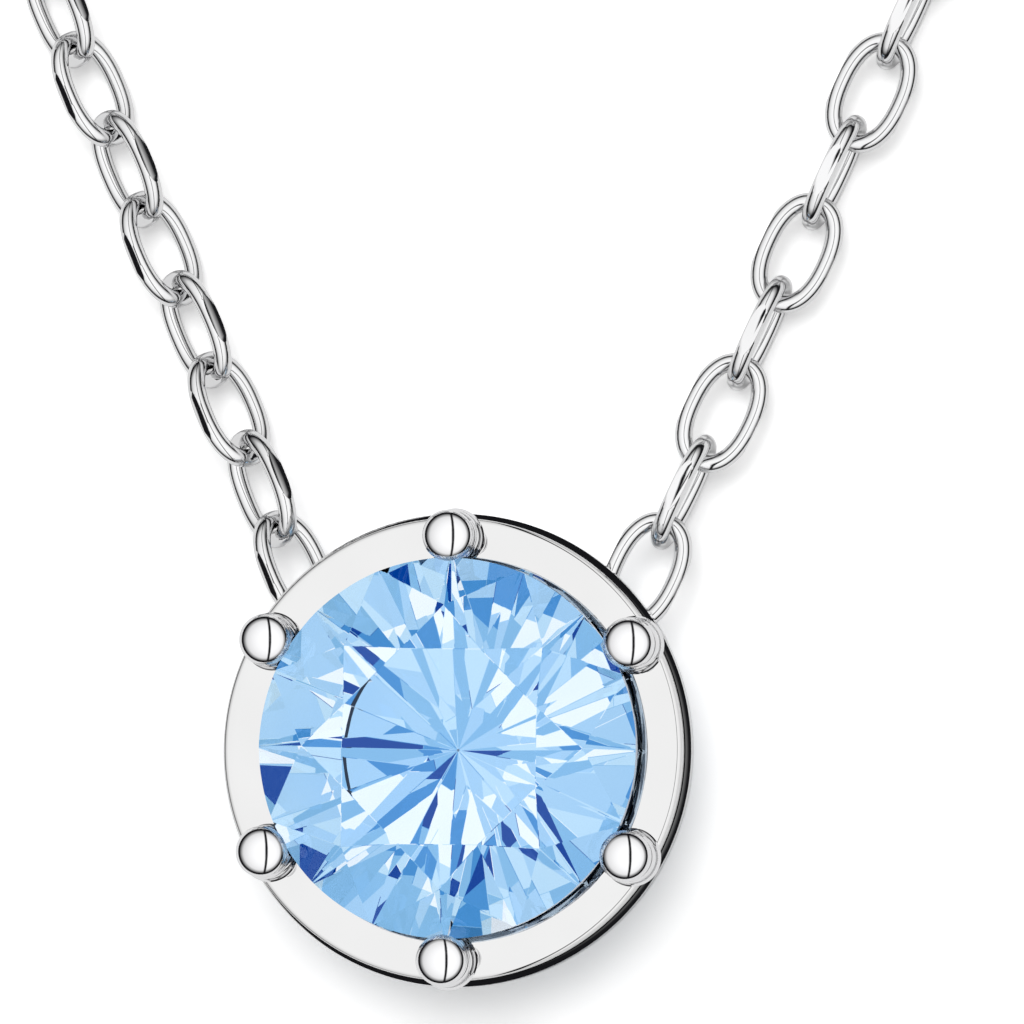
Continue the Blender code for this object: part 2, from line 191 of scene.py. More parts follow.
# --- clasp and end rings ---
CLASP_AT = 2.6
CLASP_R = 2.3
CLASP_TUBE_R = (0.27, 0.45)
CLASP_MOUTH = (20.0, 72.0)
PIPE_STEPS = 90
PIPE_SIDES = 24
BOLT_STEPS = 40
BOLT_SIDES = 20
BOLT_R = 0.21
BOLT_SPAN = (-28.0, 76.0)
SLOT_SPAN = (-46.0, 26.0)
SLOT_HALF = 0.15
SLOT_Z = (0.16, 0.70)
SLOT_STEPS = 24
KNOB_AT = 12.0
KNOB_SIDES = 24
KNOB_PROFILE = (
    (0.10, 0.0),
    (0.10, 0.49),
    (0.12, 0.51),
    (0.20, 0.54),
    (0.22, 0.57),
    (0.22, 0.65),
    (0.205, 0.70),
    (0.16, 0.74),
    (0.08, 0.76),
)
SPRING_SPAN = (-130.0, -30.0)
SPRING_TURNS = 16
SPRING_R = 0.17
SPRING_WIRE_R = 0.04
SPRING_STEPS = 16
SPRING_SIDES = 6
LOOP_RING = (0.50, 0.17)
JUMP_RING = (0.95, 0.20)
JUMP_TILT = math.radians(14.3)
END_RING = (1.55, 0.25)
END_RING_AT = -1.0
END_RING_SEGMENTS = 80

# --- camera ---
CAMERA_RIGHT = math.radians(8.6)
CAMERA_DOWN = math.radians(2.6)
CAMERA_ROLL = math.radians(0.9)
CAMERA_DISTANCE = 250.0
VIEW_WIDTH = 17.49
VIEW_OFFSET = (1.025, 4.05)
CLIP_M = (0.01, 20.0)

# --- studio ---
# the tent's brightness square to the camera and round it, and the cosines between which it changes
CLOTH = (0.42, 0.98)
CLOTH_FROM = (0.05, 0.90)
# the tent is dark below the first number and full above the second: over the table, and to each side
# of the gap down its middle
TENT_RIM = (0.27, 0.58)
TENT_GAP = (0.035, 0.075)
TENT_WHITE = 1.30
TENT_DARK = (0.012, 0.012, 0.014)
BACKDROP = (0.92, 0.96)
OVERHEAD = 2.05
OVERHEAD_TILT = math.radians(16)
OVERHEAD_SPREAD = math.radians(35)
PAPER = (0.90, 0.92)
# light added to the floor where the camera sees it, and the tent's share in the floor's own light
PAPER_LIFT = 0.34
FLOOR_SHARE = 0.4
FLOOR_HALF_M = 1.5
# where each share of the cards round the stone starts, and its colour
CARDS = (
    (0.00, (0.00, 0.06, 0.34)),
    (0.08, (0.10, 0.36, 0.70)),
    (0.18, (0.38, 0.66, 0.88)),
    (0.38, (0.62, 0.84, 1.00)),
    (0.62, (0.84, 1.00, 1.06)),
    (0.87, (1.45, 1.30, 1.20)),
)
CARDS_SCALE = 4.2

UP = Vector((0, 0, 1))
SIDES = {"left": -1.0, "right": 1.0}


def pendant_axis():
    """The pendant's axis in the frame, in millimetres: the middle of the stone's box."""
    low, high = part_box("stone")
    middle = (low + high) * 500.0
    return Vector((middle.x, middle.y, 0))


AXIS = pendant_axis()


def place(point):
    """A point in millimetres from the pendant's axis, as a point of the frame in metres."""
    return (Vector(point) + AXIS) * 0.001


# ---------------------------------------------------------------- materials


class Nodes:
    """A short way to add and join shader nodes."""

    def __init__(self, tree):
        self.tree = tree

    def add(self, kind, **values):
        node = self.tree.nodes.new(kind)
        for name, value in values.items():
            setattr(node, name, value)
        return node

    def link(self, source, target):
        self.tree.links.new(source, target)


def new_material(name):
    made = bpy.data.materials.new(name)
    made.use_nodes = True
    return made, Nodes(made.node_tree), made.node_tree.nodes["Principled BSDF"]


def mapped(nodes, size):
    """Object coordinates in units of size millimetres."""
    place_at = nodes.add("ShaderNodeTexCoord")
    scale = nodes.add("ShaderNodeVectorMath", operation="SCALE")
    scale.inputs["Scale"].default_value = 1000.0 / size
    nodes.link(place_at.outputs["Object"], scale.inputs[0])
    return scale.outputs["Vector"]


def noise(nodes, vector, detail):
    made = nodes.add("ShaderNodeTexNoise")
    made.inputs["Scale"].default_value = 1.0
    made.inputs["Detail"].default_value = detail
    nodes.link(vector, made.inputs["Vector"])
    return made.outputs["Fac"]


def ranged(nodes, value, low, high, from_low=0.3, from_high=0.7):
    made = nodes.add("ShaderNodeMapRange")
    made.inputs["From Min"].default_value = from_low
    made.inputs["From Max"].default_value = from_high
    made.inputs["To Min"].default_value = low
    made.inputs["To Max"].default_value = high
    nodes.link(value, made.inputs["Value"])
    return made.outputs["Result"]


def grey(value):
    return (value, value, value)


def blended(nodes, value, first, second):
    made = nodes.add("ShaderNodeMix", data_type="RGBA")
    made.inputs["A"].default_value = (*first, 1.0)
    made.inputs["B"].default_value = (*second, 1.0)
    nodes.link(value, made.inputs["Factor"])
    return made.outputs["Result"]


def polished_silver(name, bright, dull, rough, grain, dents):
    """Polished rhodium-plated silver: soft polishing marks, faint dents and a slight change of tone."""
    made, nodes, shader = new_material(name)
    shader.inputs["Metallic"].default_value = 1.0
    tone = ranged(nodes, noise(nodes, mapped(nodes, 1.7), 2.0), 0.0, 1.0)
    nodes.link(blended(nodes, tone, dull, bright), shader.inputs["Base Color"])
    marks = noise(nodes, mapped(nodes, 0.12), 4.0)
    nodes.link(ranged(nodes, marks, *rough), shader.inputs["Roughness"])
    bump = nodes.add("ShaderNodeBump")
    bump.inputs["Strength"].default_value = dents
    bump.inputs["Distance"].default_value = 0.00001
    nodes.link(noise(nodes, mapped(nodes, grain), 2.0), bump.inputs["Height"])
    nodes.link(bump.outputs["Normal"], shader.inputs["Normal"])
    return made


def topaz(name):
    """A pale sky blue topaz, a little deeper in places.

    Its index of refraction is above a topaz's 1.63, so that the setting behind doesn't show through.
    """
    made, nodes, shader = new_material(name)
    shader.inputs["Transmission Weight"].default_value = 1.0
    shader.inputs["IOR"].default_value = 1.80
    shader.inputs["Roughness"].default_value = 0.0
    shader.inputs["Specular Tint"].default_value = (0.35, 0.50, 0.80, 1.0)
    cloud = ranged(nodes, noise(nodes, mapped(nodes, 2.2), 3.0), 0.0, 1.0)
    nodes.link(blended(nodes, cloud, (0.78, 0.90, 1.0), (0.90, 0.97, 1.0)), shader.inputs["Base Color"])
    depth = nodes.add("ShaderNodeVolumeAbsorption")
    depth.inputs["Color"].default_value = (0.12, 0.52, 1.0, 1.0)
    depth.inputs["Density"].default_value = 48.0
    output = made.node_tree.nodes["Material Output"]
    nodes.link(depth.outputs["Volume"], output.inputs["Volume"])
    return made


def paper(name):
    """A plain pale floor with a faint paper grain, a little brighter where the camera sees it."""
    made, nodes, shader = new_material(name)
    tone = noise(nodes, mapped(nodes, 6.0), 3.0)
    nodes.link(blended(nodes, tone, grey(PAPER[0]), grey(PAPER[1])), shader.inputs["Base Color"])
    shader.inputs["Roughness"].default_value = 0.9
    shader.inputs["Specular IOR Level"].default_value = 0.0
    shader.inputs["Emission Color"].default_value = (1.0, 1.0, 1.0, 1.0)
    direct = nodes.add("ShaderNodeLightPath").outputs["Is Camera Ray"]
    nodes.link(ranged(nodes, direct, 0.0, PAPER_LIFT, 0.0, 1.0), shader.inputs["Emission Strength"])
    return made


SETTING = polished_silver(
    "setting_silver",
    bright=(0.81, 0.81, 0.82),
    dull=(0.78, 0.78, 0.79),
    rough=(0.02, 0.06),
    grain=0.9,
    dents=0.02,
)
# The plate's silver is the setting's silver made darker. This is painted shade: it makes the plate's flat
# face reflect darker than the prongs, legs and back ring of the same piece.
PLATE_SILVER_PAINTED_SHADE = polished_silver(
    "plate_silver_painted_shade",
    bright=grey(0.69),
    dull=grey(0.67),
    rough=(0.015, 0.04),
    grain=0.9,
    dents=0.02,
)
CHAIN = polished_silver(
    "chain_silver",
    bright=(0.76, 0.76, 0.765),
    dull=(0.71, 0.71, 0.715),
    rough=(0.03, 0.08),
    grain=0.35,
    dents=0.08,
)
CLASP = polished_silver(
    "clasp_silver",
    bright=(0.76, 0.76, 0.77),
    dull=(0.71, 0.71, 0.72),
    rough=(0.04, 0.10),
    grain=0.5,
    dents=0.08,
)
STONE = topaz("blue_topaz")


# ---------------------------------------------------------------- mesh tools


def piece(name, bm, finish, body, replaced=(), sharp=32.0):
    """Makes a named object from a bmesh in millimetres, and puts it on its CAD body."""
    bmesh.ops.recalc_face_normals(bm, faces=bm.faces)
    for vert in bm.verts:
        vert.co = place(vert.co)
    mesh = bpy.data.meshes.new(name)
    bm.to_mesh(mesh)
    bm.free()
    if sharp:
        mesh.shade_smooth()
        mesh.set_sharp_from_angle(angle=math.radians(sharp))
    mesh.materials.append(finish)
    made = bpy.data.objects.new(name, mesh)
    bpy.context.scene.collection.objects.link(made)
    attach(made, body)
    if replaced:
        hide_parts(*replaced)
    return made


def loft(bm, rings, closed=False, capped=True):
    """Skins rings of points one after another, and joins the last to the first or caps both ends."""
    loops = [[bm.verts.new(point) for point in ring] for ring in rings]
    count = len(loops[0])
    pairs = list(zip(loops, loops[1:]))
    if closed:
        pairs.append((loops[-1], loops[0]))
    for near, far in pairs:
        for k in range(count):
            after = (k + 1) % count
            bm.faces.new((near[k], near[after], far[after], far[k]))
    if capped and not closed:
        bm.faces.new(loops[0])
        bm.faces.new(loops[-1])
    return loops


def circle(centre, out, up, radius, sides):
    steps = [2 * math.pi * k / sides for k in range(sides)]
    return [centre + out * (radius * math.cos(a)) + up * (radius * math.sin(a)) for a in steps]


def turned(profile, segments):
    """A closed (radius, height) outline turned about the pendant's axis, open in the middle."""
    bm = bmesh.new()
    rings = []
    for k in range(segments):
        angle = 2 * math.pi * k / segments
        out = Vector((math.cos(angle), math.sin(angle), 0))
        rings.append([out * r + UP * z for r, z in profile])
    loft(bm, rings, closed=True)
    return bm


def turned_post(profile, centre, sides):
    """A solid post turned about a vertical axis through centre."""
    bm = bmesh.new()
    level = (Vector((1, 0, 0)), Vector((0, 1, 0)))
    loft(bm, [circle(centre + UP * z, *level, r, sides) for r, z in profile])
    return bm


def rounded_section(radii, heights, edge, steps):
    """The outline of a flat ring's section, with its four edges rounded."""
    (r0, r1), (z0, z1) = radii, heights
    corners = (
        (r1 - edge, z0 + edge, -90),
        (r1 - edge, z1 - edge, 0),
        (r0 + edge, z1 - edge, 90),
        (r0 + edge, z0 + edge, 180),
    )
    outline = []
    for r, z, start in corners:
        for k in range(steps + 1):
            a = math.radians(start + 90 * k / steps)
            outline.append((r + edge * math.cos(a), z + edge * math.sin(a)))
    return outline


def wire_ring(centre, along, across, radius, wire, segments=64, sides=18):
    """A round ring of round wire, in the plane of two unit vectors."""
    bm = bmesh.new()
    normal = along.cross(across)
    rings = []
    for k in range(segments):
        angle = 2 * math.pi * k / segments
        out = along * math.cos(angle) + across * math.sin(angle)
        rings.append(circle(centre + out * radius, out, normal, wire, sides))
    loft(bm, rings, closed=True)
    return bm


def boolean(target_bm, cutter_bm, operation):
    """The result of one exact Boolean between two bmeshes, as a new bmesh."""
    made = []
    for bm in (target_bm, cutter_bm):
        bmesh.ops.recalc_face_normals(bm, faces=bm.faces)
        mesh = bpy.data.meshes.new("boolean_work")
        bm.to_mesh(mesh)
        bm.free()
        item = bpy.data.objects.new("boolean_work", mesh)
        bpy.context.scene.collection.objects.link(item)
        made.append(item)
    target, cutter = made
    modifier = target.modifiers.new("cut", "BOOLEAN")
    modifier.operation = operation
    modifier.solver = "EXACT"
    modifier.object = cutter
    bpy.context.view_layer.update()
    evaluated = target.evaluated_get(bpy.context.evaluated_depsgraph_get())
    result = bmesh.new()
    result.from_mesh(evaluated.to_mesh())
    evaluated.to_mesh_clear()
    for item in made:
        mesh = item.data
        bpy.data.objects.remove(item)
        bpy.data.meshes.remove(mesh)
    return result


# ---------------------------------------------------------------- strand layout


def strand_direction(side):
    return Vector((SIDES[side] * math.sin(STRAND_LEAN), math.cos(STRAND_LEAN), 0))


def outward(side):
    """The level direction square to a strand, away from the other strand."""
    ahead = strand_direction(side)
    return Vector((ahead.y, -ahead.x, 0)) * SIDES[side]


def eyelet_radial(side):
    return Vector((SIDES[side] * math.cos(EYELET_ANGLE), math.sin(EYELET_ANGLE), 0))


def eyelet_z():
    return PLATE_Z[0] - JOINT_GAP - EYELET_RING_R - WIRE / 2


def eyelet_wire(side):
    """The middle of the eyelet's wire where the first link hangs."""
    return eyelet_radial(side) * EYELET_AT_R + UP * eyelet_z()


def strand_height(s):
    """The chain comes down from the eyelet to the table in one smooth fall."""
    t = min(max(s / DESCENT, 0.0), 1.0)
    return TABLE_CHAIN_Z + (eyelet_z() - TABLE_CHAIN_Z) * (1 - t * t * (3 - 2 * t))


def contacts(side):
    """The points where the links touch, from the eyelet to the last link's far end."""
    start = eyelet_wire(side) - strand_direction(side) * (WIRE + LINK_GAP) / 2
    points = [start]
    reach = 0.0
    for _ in range(LINKS):
        here = points[-1]
        step = PITCH
        for _ in range(4):
            drop = strand_height(reach + step) - here.z
            step = math.sqrt(PITCH * PITCH - drop * drop)
        reach += step
        point = start + strand_direction(side) * reach
        points.append(Vector((point.x, point.y, strand_height(reach))))
    return points


def rolled_frame(near, far, roll):
    """The middle, direction and flat side's normal of a link between two contact points."""
    ahead = (far - near).normalized()
    level = ahead.cross(UP).normalized()
    normal = level.cross(ahead)
    angle = math.radians(roll)
    return (near + far) / 2, ahead, normal * math.cos(angle) + level * math.sin(angle)


def coil_centre(side):
    last = contacts(side)[-1]
    ahead = strand_direction(side) * (COIL_LEAD + COIL_BEND + COIL_R + CORD_R)
    centre = last + ahead - outward(side) * COIL_BEND
    return Vector((centre.x, centre.y, 0))


def inner_frame(side):
    """The coil's middle, and the level directions that its turns, clasp and end ring are placed by."""
    return coil_centre(side), outward(side) * -1.0, strand_direction(side)


def inner_point(side, x, v, z):
    centre, cross, u = inner_frame(side)
    return centre + cross * x + u * v + UP * z


def smooth_route(spots, parts):
    """A Catmull-Rom curve through the spots, with parts points for each stretch."""
    ends = [spots[0], *spots, spots[-1]]
    points = []
    for k in range(1, len(ends) - 2):
        p0, p1, p2, p3 = (Vector(p) for p in ends[k - 1 : k + 3])
        for step in range(parts):
            t = step / parts
            even = 2 * p1 + (p2 - p0) * t
            bent = (2 * p0 - 5 * p1 + 4 * p2 - p3) * t * t
            twisted = (3 * p1 - p0 - 3 * p2 + p3) * t * t * t
            points.append((even + bent + twisted) * 0.5)
    points.append(Vector(spots[-1]))
    return points


def eased(value):
    t = min(max(value, 0.0), 1.0)
    return t * t * (3 - 2 * t)


def coil_point(side, turns):
    """A point of the coil after so many turns: out and low, out and high, in and high, in and low."""
    outer, inner = COIL_R + CORD_R, COIL_R - CORD_R
    part = turns % 1.0
    ease = eased((part - (1 - LEVEL_CHANGE)) / LEVEL_CHANGE)
    level = int(turns)
    radii = (outer, outer, inner, inner, inner)
    lows = (CORD_R, 3 * CORD_R, 3 * CORD_R, CORD_R, CORD_R)
    radius = radii[level] + (radii[min(level + 1, 4)] - radii[level]) * ease
    height = lows[level] + (lows[min(level + 1, 4)] - lows[level]) * ease
    if turns > DRAW_IN_FROM:
        radius += (TAIL_R - inner) * eased((turns - DRAW_IN_FROM) / (COIL_TURNS - DRAW_IN_FROM))
    a = math.radians(360 * turns - 90)
    return inner_point(side, radius * math.cos(a), radius * math.sin(a), height + COIL_ROOM)


def strand_route(side):
    """The line of the unseen chain: its lead, nearly four turns of coil and the tail inside them."""
    last = contacts(side)[-1]
    ahead, out = strand_direction(side), outward(side)
    bend = last + ahead * COIL_LEAD
    points = [last, bend]
    for k in range(1, BEND_POINTS + 1):
        a = math.radians(BEND_STEP * k)
        points.append(bend + ahead * (COIL_BEND * math.sin(a)) - out * (COIL_BEND * (1 - math.cos(a))))
    total = round(COIL_TURNS * TURN_POINTS)
    points += [coil_point(side, k / TURN_POINTS) for k in range(total + 1)]
    tail = smooth_route([*TAIL_SPOTS, *TAIL_ENDS[side]], TAIL_PARTS)
    return points + [inner_point(side, *spot) for spot in tail[1:]]


def path_length(points):
    return sum((b - a).length for a, b in zip(points, points[1:]))


def spaced(points, step):
    """Points a step apart, measured straight, along a line."""
    found = [points[0].copy()]
    k, t = 0, 0.0
    while True:
        here = found[-1]
        j = k
        while j < len(points) - 1 and (points[j + 1] - here).length < step:
            j += 1
        if j >= len(points) - 1:
            return found
        a = points[j] if j > k else points[k].lerp(points[k + 1], t)
        b = points[j + 1]
        low, high = 0.0, 1.0
        for _ in range(24):
            middle = (low + high) / 2
            if (a.lerp(b, middle) - here).length < step:
                low = middle
            else:
                high = middle
        spot = a.lerp(b, high)
        t = (spot - points[j]).length / max((b - points[j]).length, 1e-9)
        k = j
        found.append(spot)


def fitted(route):
    """Contact points about a pitch apart, the last of them at the route's end."""
    count = round(path_length(route) / PITCH)
    low, high = PITCH * 0.9, PITCH * 1.1
    for _ in range(30):
        step = (low + high) / 2
        if len(spaced(route, step)) > count:
            low = step
        else:
            high = step
    return [*spaced(route, low)[:count], route[-1]]


# ---------------------------------------------------------------- links


def oval(angle, half_length, half_width):
    power = 2.0 / OVAL_POWER
    c, s = math.cos(angle), math.sin(angle)
    x = half_length * math.copysign(abs(c) ** power, c)
    y = half_width * math.copysign(abs(s) ** power, s)
    return x, y


def link_rings(middle, ahead, normal, segments, sides):
    """The rings of points round the wire of one oval link."""
    across = normal.cross(ahead)
    half_length = (LINK_LENGTH - WIRE) / 2
    half_width = (LINK_WIDTH - WIRE) / 2
    points = []
    for k in range(segments):
        x, y = oval(2 * math.pi * (k + 0.5) / segments, half_length, half_width)
        points.append(middle + ahead * x + across * y)
    rings = []
    for k, point in enumerate(points):
        along = (points[(k + 1) % segments] - points[k - 1]).normalized()
        rings.append(circle(point, along.cross(normal), normal, WIRE / 2, sides))
    return rings


def fine_link(middle, ahead, normal):
    """One link with its two diamond-cut facets, on the outer long sides."""
    bm = bmesh.new()
    loft(bm, link_rings(middle, ahead, normal, *FINE_LINK), closed=True)
    across = normal.cross(ahead)
    for way in (1.0, -1.0):
        out = across * way
        at = middle + out * (LINK_WIDTH / 2 - FACET_DEPTH)
        geometry = [*bm.verts, *bm.edges, *bm.faces]
        cut = bmesh.ops.bisect_plane(bm, geom=geometry, plane_co=at, plane_no=out, clear_outer=True)
        rim = [item for item in cut["geom_cut"] if isinstance(item, bmesh.types.BMEdge)]
        bmesh.ops.holes_fill(bm, edges=rim)
    return bm


def simple_links(line, first_roll):
    """A run of plain oval links whose contact points are given, one mesh for all of them."""
    bm = bmesh.new()
    for k, (near, far) in enumerate(zip(line, line[1:])):
        roll = first_roll if k % 2 else -first_roll
        loft(bm, link_rings(*rolled_frame(near, far, roll), *SIMPLE_LINK), closed=True)
    return bm


# ---------------------------------------------------------------- pieces


def stone_piece():
    """Table, 8 stars, 8 kites, 16 upper halves, round girdle, 16 lower halves and 8 pavilion mains."""

    def row(radius, z, count, first):
        step = 2 * math.pi / count
        turns = [first + k * step for k in range(count)]
        return [bm.verts.new((radius * math.cos(a), radius * math.sin(a), z)) for a in turns]

    bm = bmesh.new()
    half = math.pi / 8
    table = row(TABLE_R, TABLE_Z, 8, half)
    star = row(STAR_R, STAR_Z, 8, 0.0)
    rough_r = STONE_R / math.cos(math.pi / 16)
    upper = row(rough_r, GIRDLE_Z[1], 16, 0.0)
    lower = row(rough_r, GIRDLE_Z[0], 16, 0.0)
    pavilion_z = CULET_Z + (GIRDLE_Z[0] - CULET_Z) * LOWER_R / PAVILION_MID_R
    pavilion = row(LOWER_R, pavilion_z, 8, half)
    tip = bm.verts.new((0, 0, CULET_Z))
    bm.faces.new(table)
    for k in range(8):
        after = (k + 1) % 8
        bm.faces.new((table[k - 1], table[k], star[k]))
        bm.faces.new((table[k], star[after], upper[2 * k + 1]))
        bm.faces.new((table[k], upper[2 * k + 1], star[k]))
        bm.faces.new((star[k], upper[2 * k + 1], upper[2 * k]))
        bm.faces.new((star[after], upper[(2 * k + 2) % 16], upper[2 * k + 1]))
        bm.faces.new((lower[2 * k], lower[2 * k + 1], pavilion[k]))
        bm.faces.new((lower[2 * k + 1], lower[(2 * k + 2) % 16], pavilion[k]))
        bm.faces.new((lower[2 * k], pavilion[k], tip))
        bm.faces.new((lower[2 * k], tip, pavilion[k - 1]))
    for k in range(16):
        after = (k + 1) % 16
        bm.faces.new((upper[k], upper[after], lower[after], lower[k]))
    bmesh.ops.bevel(bm, geom=bm.edges[:], offset=FACET_EDGE, segments=1, affect="EDGES")
    ends = (CULET_Z - STONE_BAR_SPARE, TABLE_Z + STONE_BAR_SPARE)
    round_bar = turned_post([(STONE_R, z) for z in ends], Vector((0, 0, 0)), STONE_SIDES)
    cut = boolean(bm, round_bar, "INTERSECT")
    piece("topaz", cut, STONE, "pendant", ["stone"], sharp=None)


def seat_cutter():
    """The stone's outer part, turned a little larger, which cuts the prongs' seats."""
    room = STONE_R + SEAT_ROOM
    slope_down = (GIRDLE_Z[0] - CULET_Z) / STONE_R
    slope_up = (TABLE_Z - GIRDLE_Z[1]) / (STONE_R - TABLE_R)
    profile = [
        (SEAT_INNER_R, GIRDLE_Z[0] - SEAT_ROOM - (room - SEAT_INNER_R) * slope_down),
        (room, GIRDLE_Z[0] - SEAT_ROOM),
        (room, GIRDLE_Z[1] + SEAT_ROOM),
        (SEAT_INNER_R, GIRDLE_Z[1] + SEAT_ROOM + (room - SEAT_INNER_R) * slope_up),
    ]
    return turned(profile, SEAT_SEGMENTS)


def spoke(number):
    """The level direction from the pendant's axis to one of its six prongs."""
    angle = math.radians(90 + 60 * (number - 1))
    return Vector((math.cos(angle), math.sin(angle), 0))


def prong_piece(number):
    dome = [
        (BALL_R * math.cos(math.radians(a)), BALL_Z + BALL_HEIGHT * math.sin(math.radians(a)))
        for a in BALL_STEPS
    ]
    post = turned_post([*PRONG_PROFILE, *dome], spoke(number) * PRONG_PITCH_R, PRONG_SIDES)
    bm = boolean(post, seat_cutter(), "DIFFERENCE")
    piece(f"ball_prong_{number}", bm, SETTING, "pendant", [f"prong_{number}"])


def strut_piece(number):
    """One leg of the gallery, flared where it is soldered at both ends."""
    out = spoke(number)
    side = UP.cross(out)
    top = out * STRUT_TOP_R + UP * PLATE_Z[0]
    foot = out * STRUT_FOOT_R + UP * BASE_Z[1]
    rings = []
    for t, scale in STRUT_FLARE:
        rings.append(circle(foot.lerp(top, t), out, side, STRUT_R * scale, STRUT_SIDES))
    bm = bmesh.new()
    loft(bm, rings)
    piece(f"gallery_leg_{number}", bm, SETTING, "pendant", [f"gallery_strut_{number}"])


def setting_pieces():
    plate = turned(PLATE_PROFILE, PLATE_SEGMENTS)
    # the plate gets the darker silver, painted shade on its face
    piece("halo_plate", plate, PLATE_SILVER_PAINTED_SHADE, "pendant", ["ring_plate"])
    base = turned(rounded_section(BASE_R, BASE_Z, BASE_EDGE, BASE_EDGE_STEPS), BASE_SEGMENTS)
    piece("back_ring", base, SETTING, "pendant", ["base_ring"])
    for number in range(1, 7):
        prong_piece(number)
        strut_piece(number)
    for side in SIDES:
        radial = eyelet_radial(side)
        middle = eyelet_wire(side) - radial * EYELET_RING_R
        bm = wire_ring(middle, radial, UP, EYELET_RING_R, WIRE / 2, sides=EYELET_SIDES)
        piece(f"hanging_eye_{side}", bm, SETTING, "pendant", [f"eyelet_{side}"])


def link_pieces(side):
    points = contacts(side)
    for k in range(LINKS):
        bm = fine_link(*rolled_frame(points[k], points[k + 1], ROLLS[side][k % 2]))
        name = f"oval_link_{side}_{k + 1}"
        body = f"link_{side}_{k + 1}"
        piece(name, bm, CHAIN, body, [f"chain_link_{side}_{k + 1}"])


def strand_piece(side, with_pieces):
    """The rest of the chain, link by link, in one mesh."""
    line = fitted(strand_route(side))
    bm = simple_links(line, RUN_ROLL)
    nodes = [f"chain_lead_{side}", f"chain_coil_{side}", f"chain_tail_{side}"]
    made = piece(f"chain_run_{side}", bm, CHAIN, f"strand_{side}", nodes)


# ---------------------------------------------------------------- clasp


def clasp_arc(side, degrees, z):
    centre = inner_point(side, 0, CLASP_AT, z)
    _, cross, u = inner_frame(side)
    a = math.radians(degrees)
    out = cross * math.cos(a) + u * math.sin(a)
    return centre + out * CLASP_R, out


def clasp_height():
    return CLASP_TUBE_R[1] + JOINT_GAP


def arc_rings(side, span, radius, count, sides):
    rings = []
    for k in range(count + 1):
        point, out = clasp_arc(side, span[0] + (span[1] - span[0]) * k / count, clasp_height())
        rings.append(circle(point, out, UP, radius, sides))
    return rings


def clasp_pipe(side):
    """The clasp's pipe, open at its mouth, with the slot for the knob cut in its top."""
    span = (CLASP_MOUTH[1], CLASP_MOUTH[0] + 360)
    bm = bmesh.new()
    outer = loft(bm, arc_rings(side, span, CLASP_TUBE_R[1], PIPE_STEPS, PIPE_SIDES), capped=False)
    inner = loft(bm, arc_rings(side, span, CLASP_TUBE_R[0], PIPE_STEPS, PIPE_SIDES), capped=False)
    for end in (0, -1):
        for k in range(PIPE_SIDES):
            after = (k + 1) % PIPE_SIDES
            bm.faces.new((outer[end][k], outer[end][after], inner[end][after], inner[end][k]))
    cutter = bmesh.new()
    rings = []
    for k in range(SLOT_STEPS + 1):
        degrees = SLOT_SPAN[0] + (SLOT_SPAN[1] - SLOT_SPAN[0]) * k / SLOT_STEPS
        point, out = clasp_arc(side, degrees, clasp_height())
        low, high = (UP * h for h in SLOT_Z)
        near, far = point - out * SLOT_HALF, point + out * SLOT_HALF
        rings.append([near + low, far + low, far + high, near + high])
    loft(cutter, rings)
    return boolean(bm, cutter, "DIFFERENCE")


def clasp_spring(side):
    bm = bmesh.new()
    rings = []
    steps = SPRING_TURNS * SPRING_STEPS
    for k in range(steps + 1):
        degrees = SPRING_SPAN[0] + (SPRING_SPAN[1] - SPRING_SPAN[0]) * k / steps
        point, out = clasp_arc(side, degrees, clasp_height())
        turn = 2 * math.pi * k / SPRING_STEPS
        away = out * math.cos(turn) + UP * math.sin(turn)
        wire_at = point + away * SPRING_R
        rings.append(circle(wire_at, away, UP.cross(out), SPRING_WIRE_R, SPRING_SIDES))
    loft(bm, rings)
    return bm


def loop_place():
    return CLASP_AT - CLASP_R - CLASP_TUBE_R[1] - JOINT_GAP - LOOP_RING[0] - LOOP_RING[1]


def jump_middle(side):
    near = loop_place() - LOOP_RING[0] + LOOP_RING[1] + JUMP_RING[1] + JOINT_GAP
    height = JUMP_RING[1] + JOINT_GAP + JUMP_RING[0] * math.sin(JUMP_TILT)
    return inner_point(side, 0, near - JUMP_RING[0] * math.cos(JUMP_TILT), height)


def clasp_pieces(side):
    """The spring ring, its bolt, spring and loop, and the jump ring that holds it to the chain."""
    _, cross, u = inner_frame(side)
    made = [piece("spring_ring", clasp_pipe(side), CLASP, "clasp", ["clasp_body"])]
    bolt = bmesh.new()
    loft(bolt, arc_rings(side, BOLT_SPAN, BOLT_R, BOLT_STEPS, BOLT_SIDES))
    stem, _ = clasp_arc(side, KNOB_AT, clasp_height())
    bolt = boolean(bolt, turned_post(KNOB_PROFILE, stem, KNOB_SIDES), "UNION")
    made.append(piece("spring_ring_bolt", bolt, CLASP, "clasp_bolt", ["clasp_bolt"]))
    spring = clasp_spring(side)
    made.append(piece("coil_spring", spring, CLASP, "clasp", ["clasp_spring"]))
    ring_r, wire = LOOP_RING
    loop_at = inner_point(side, 0, loop_place(), wire + ring_r + JOINT_GAP)
    loop = wire_ring(loop_at, u, UP, ring_r, wire)
    made.append(piece("soldered_loop", loop, CLASP, "clasp", ["clasp_loop"]))
    ring_r, wire = JUMP_RING
    lean = u * math.cos(JUMP_TILT) + UP * math.sin(JUMP_TILT)
    jump = wire_ring(jump_middle(side), lean, cross, ring_r, wire)
    made.append(piece("split_ring", jump, CHAIN, "jump_ring", ["jump_ring"]))
    return made


def end_ring_piece(side):
    _, cross, u = inner_frame(side)
    radius, wire = END_RING
    middle = inner_point(side, 0, END_RING_AT, wire + JOINT_GAP)
    ring = wire_ring(middle, u, cross, radius, wire, END_RING_SEGMENTS)
    return piece("catch_ring", ring, CHAIN, "end_ring", ["end_ring"])


# ---------------------------------------------------------------- studio


